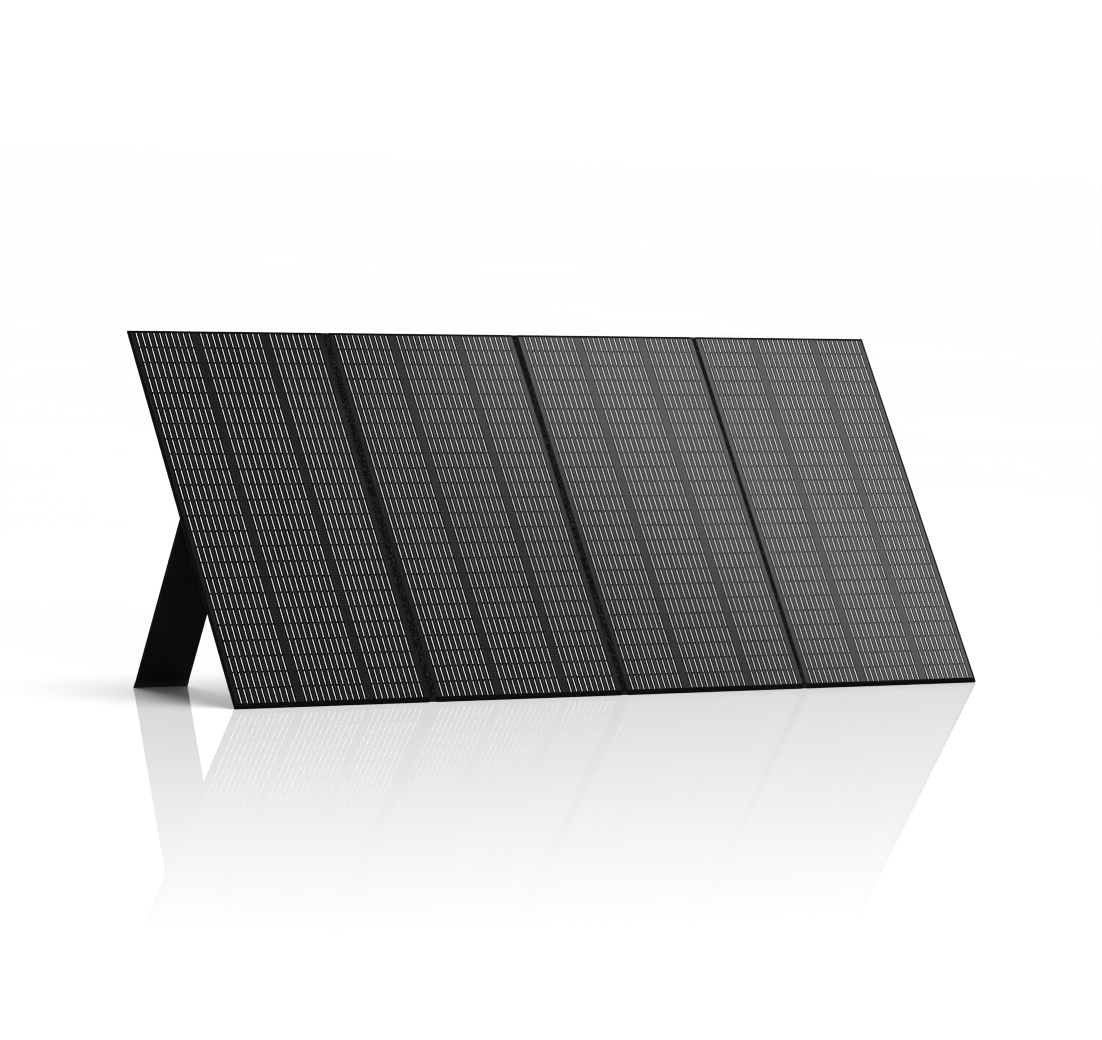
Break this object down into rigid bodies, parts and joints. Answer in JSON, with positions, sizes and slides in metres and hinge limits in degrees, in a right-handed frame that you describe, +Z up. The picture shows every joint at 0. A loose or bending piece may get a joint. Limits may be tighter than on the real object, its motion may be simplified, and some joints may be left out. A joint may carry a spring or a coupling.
{
  "type": "folding solar panel",
  "caption": "Folding camping solar panel: flat cell leaves joined by fabric hinge strips, leaning back on fabric covered kickstand legs.",
  "frame": {"origin": "bottom centre of the whole object's box, on the floor", "axes": "+X along the panel, +Z up; the cells face -Y and up"},
  "size_m": [2.389, 0.5392, 0.8786],
  "materials": {
    "front_film": "satin clear film over black cells",
    "solar_cells": "near-black silicon",
    "board": "fibreglass board",
    "woven_fabric": "black coated woven fabric",
    "binding": "black stitched binding tape",
    "hinge_fabric": "dark grey woven fabric",
    "webbing": "black webbing",
    "rubber": "matt rubber",
    "black_plastic": "fine-textured moulded plastic",
    "dark_metal": "dark plated steel"
  },
  "bodies": {
    "leaf_1": {"leaf_1_front_film": "front_film", "leaf_1_cell_strips": "solar_cells", "leaf_1_backing_board": "board", "leaf_1_rear_cover": "woven_fabric", "leaf_1_edge_binding": "binding", "leg_1_hinge_tab": "webbing", "leg_1_limit_strap": "webbing", "hinge_strip_1_left": "hinge_fabric", "handle_1_anchors": "black_plastic", "cable_pouch": "woven_fabric"},
    "leaf_2": {"leaf_2_front_film": "front_film", "leaf_2_cell_strips": "solar_cells", "leaf_2_backing_board": "board", "leaf_2_rear_cover": "woven_fabric", "leaf_2_edge_binding": "binding", "leg_2_hinge_tab": "webbing", "leg_2_limit_strap": "webbing", "hinge_strip_1_right": "hinge_fabric", "hinge_strip_2_left": "hinge_fabric", "handle_2_anchors": "black_plastic", "junction_box_base": "black_plastic", "junction_box_gasket": "rubber", "junction_box_lid": "black_plastic", "junction_box_screws": "dark_metal", "junction_box_terminals": "black_plastic", "cable_gland": "black_plastic"},
    "leaf_3": {"leaf_3_front_film": "front_film", "leaf_3_cell_strips": "solar_cells", "leaf_3_backing_board": "board", "leaf_3_rear_cover": "woven_fabric", "leaf_3_edge_binding": "binding", "leg_3_hinge_tab": "webbing", "leg_3_limit_strap": "webbing", "hinge_strip_2_right": "hinge_fabric", "hinge_strip_3_left": "hinge_fabric"},
    "leaf_4": {"leaf_4_front_film": "front_film", "leaf_4_cell_strips": "solar_cells", "leaf_4_backing_board": "board", "leaf_4_rear_cover": "woven_fabric", "leaf_4_edge_binding": "binding", "leg_4_hinge_tab": "webbing", "leg_4_limit_strap": "webbing", "hinge_strip_3_right": "hinge_fabric"},
    "leg_1": {"leg_1_board": "board", "leg_1_cover": "woven_fabric", "leg_1_foot": "rubber"},
    "leg_2": {"leg_2_board": "board", "leg_2_cover": "woven_fabric", "leg_2_foot": "rubber"},
    "leg_3": {"leg_3_board": "board", "leg_3_cover": "woven_fabric", "leg_3_foot": "rubber"},
    "leg_4": {"leg_4_board": "board", "leg_4_cover": "woven_fabric", "leg_4_foot": "rubber"},
    "handle_1": {"handle_1_strap": "webbing"},
    "handle_2": {"handle_2_strap": "webbing"},
    "zip_slider": {"zip_slider": "dark_metal"}
  },
  "joints": [
    {"name": "fold_1", "type": "hinge", "parent": "leaf_1", "child": "leaf_2", "pos_m": [-0.5985, -0.01191, 0.44657], "axis": [0, -0.521, -0.8536], "range_deg": [0, 180]},
    {"name": "fold_2", "type": "hinge", "parent": "leaf_2", "child": "leaf_3", "pos_m": [0.005, -0.00747, 0.44386], "axis": [0, -0.521, -0.8536], "range_deg": [0, 180]},
    {"name": "fold_3", "type": "hinge", "parent": "leaf_3", "child": "leaf_4", "pos_m": [0.6035, -0.00303, 0.44115], "axis": [0, -0.521, -0.8536], "range_deg": [0, 180]},
    {"name": "leg_1_swing", "type": "hinge", "parent": "leaf_1", "child": "leg_1", "pos_m": [-1.1045, 0.01157, 0.44818], "axis": [-1, 0, 0], "range_deg": [0, 52.8], "deforming": ["leg_1_limit_strap"]},
    {"name": "leg_2_swing", "type": "hinge", "parent": "leaf_2", "child": "leg_2", "pos_m": [-0.4995, 0.01157, 0.44818], "axis": [-1, 0, 0], "range_deg": [0, 52.8], "deforming": ["leg_2_limit_strap"]},
    {"name": "leg_3_swing", "type": "hinge", "parent": "leaf_3", "child": "leg_3", "pos_m": [0.5095, 0.01157, 0.44818], "axis": [-1, 0, 0], "range_deg": [0, 52.8], "deforming": ["leg_3_limit_strap"]},
    {"name": "leg_4_swing", "type": "hinge", "parent": "leaf_4", "child": "leg_4", "pos_m": [1.1045, 0.01157, 0.44818], "axis": [-1, 0, 0], "range_deg": [0, 52.8], "deforming": ["leg_4_limit_strap"]},
    {"name": "handle_1_swing", "type": "hinge", "parent": "leaf_1", "child": "handle_1", "pos_m": [-0.901, 0.25424, 0.8371], "axis": [1, 0, 0], "range_deg": [-30, 148]},
    {"name": "handle_2_swing", "type": "hinge", "parent": "leaf_2", "child": "handle_2", "pos_m": [-0.296, 0.25424, 0.8371], "axis": [1, 0, 0], "range_deg": [-30, 148]},
    {"name": "zip_slide", "type": "slide", "parent": "leaf_1", "child": "zip_slider", "axis": [1, 0, 0], "range_m": [0, 0.16]}
  ]
}
